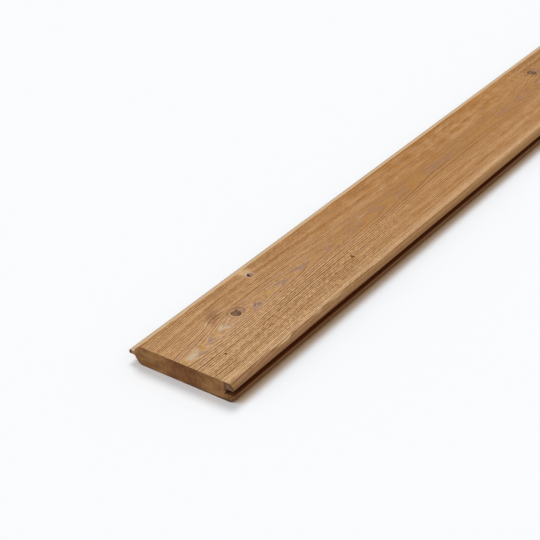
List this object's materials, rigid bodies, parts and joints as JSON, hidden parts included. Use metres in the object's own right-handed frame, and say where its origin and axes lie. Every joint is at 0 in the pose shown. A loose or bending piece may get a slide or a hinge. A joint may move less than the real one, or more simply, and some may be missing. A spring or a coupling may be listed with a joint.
{
  "type": "tongue and groove board",
  "caption": "Softwood cladding board with a tongue along one edge, a groove along the other, bevelled face edges and a brushed face.",
  "frame": {"origin": "middle of the back, on the floor that the board lies on", "axes": "+X across the board from the tongue to the groove, +Y along the grain away from the end that the picture shows, +Z from the back up to the face"},
  "size_m": [0.118, 1.8, 0.02],
  "materials": {
    "wood": "brushed, heat-browned softwood, matt"
  },
  "bodies": {
    "root": {"tongue_and_groove_board": "wood"}
  },
  "joints": []
}
